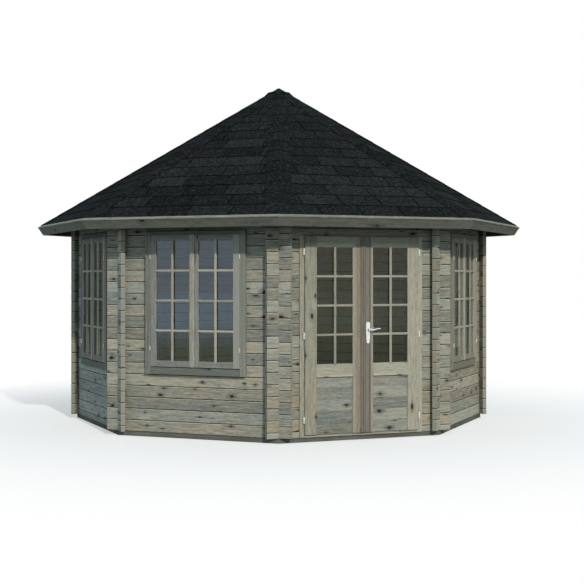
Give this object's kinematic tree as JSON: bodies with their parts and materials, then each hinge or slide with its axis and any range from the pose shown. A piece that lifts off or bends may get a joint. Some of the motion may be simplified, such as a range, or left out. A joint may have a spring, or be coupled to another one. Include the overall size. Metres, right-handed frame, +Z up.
{
  "type": "garden gazebo",
  "caption": "Octagonal log garden gazebo with crossed log corners, glazed double door, casement windows and a hipped shingle roof on deep eaves.",
  "frame": {"origin": "centre of the ground plan at ground level", "axes": "+Z up, the door wall faces -Y, +X to the right of someone facing the door"},
  "size_m": [5.0198, 5.0198, 3.7012],
  "materials": {
    "wall_logs": "weathered treated softwood",
    "base_timber": "dark treated softwood",
    "floor_timber": "planed softwood",
    "trim_timber": "weathered planed softwood",
    "joinery_timber": "planed softwood",
    "roof_timber": "planed softwood",
    "roof_shingles": "mineral-surfaced bitumen",
    "pane_glass": "clear",
    "hinge_metal": "zinc plated",
    "handle_metal": "satin"
  },
  "bodies": {
    "house": {"base_beams": "base_timber", "floor_joists": "base_timber", "floor_boards": "floor_timber", "front_wall": "wall_logs", "front_right_wall": "wall_logs", "right_wall": "wall_logs", "back_right_wall": "wall_logs", "back_wall": "wall_logs", "back_left_wall": "wall_logs", "left_wall": "wall_logs", "front_left_wall": "wall_logs", "front_left_window_frame": "trim_timber", "front_left_window_sashes": "joinery_timber", "front_left_window_glass": "pane_glass", "front_right_window_frame": "trim_timber", "front_right_window_sashes": "joinery_timber", "front_right_window_glass": "pane_glass", "left_window_frame": "trim_timber", "left_window_sashes": "joinery_timber", "left_window_glass": "pane_glass", "right_window_frame": "trim_timber", "right_window_sashes": "joinery_timber", "right_window_glass": "pane_glass", "door_frame": "joinery_timber", "door_hinge_pins": "hinge_metal", "hip_rafters": "roof_timber", "rafter_boss": "roof_timber", "roof_boards": "roof_timber", "fascia_boards": "trim_timber", "eave_strips": "trim_timber", "roof_covering": "roof_shingles", "hip_caps": "roof_shingles", "apex_cap": "roof_shingles"},
    "left_door": {"left_leaf_frame": "joinery_timber", "left_leaf_panel": "joinery_timber", "left_leaf_glass": "pane_glass", "left_leaf_hinges": "hinge_metal"},
    "right_door": {"right_leaf_frame": "joinery_timber", "right_leaf_panel": "joinery_timber", "right_leaf_glass": "pane_glass", "right_leaf_hinges": "hinge_metal", "handle_plates": "handle_metal"},
    "lever": {"door_lever": "handle_metal"}
  },
  "joints": [
    {"name": "left_door_hinge", "type": "hinge", "parent": "house", "child": "left_door", "pos_m": [-0.622, -2.127, 1], "axis": [0, 0, -1], "range_deg": [0, 135]},
    {"name": "right_door_hinge", "type": "hinge", "parent": "house", "child": "right_door", "pos_m": [0.622, -2.127, 1], "axis": [0, 0, 1], "range_deg": [0, 135]},
    {"name": "lever_turn", "type": "hinge", "parent": "right_door", "child": "lever", "pos_m": [0.052, -2.134, 1.07], "axis": [0, 1, 0], "range_deg": [0, 40], "stiffness_Nm_per_rad": 1, "springref_deg": -28.65}
  ]
}
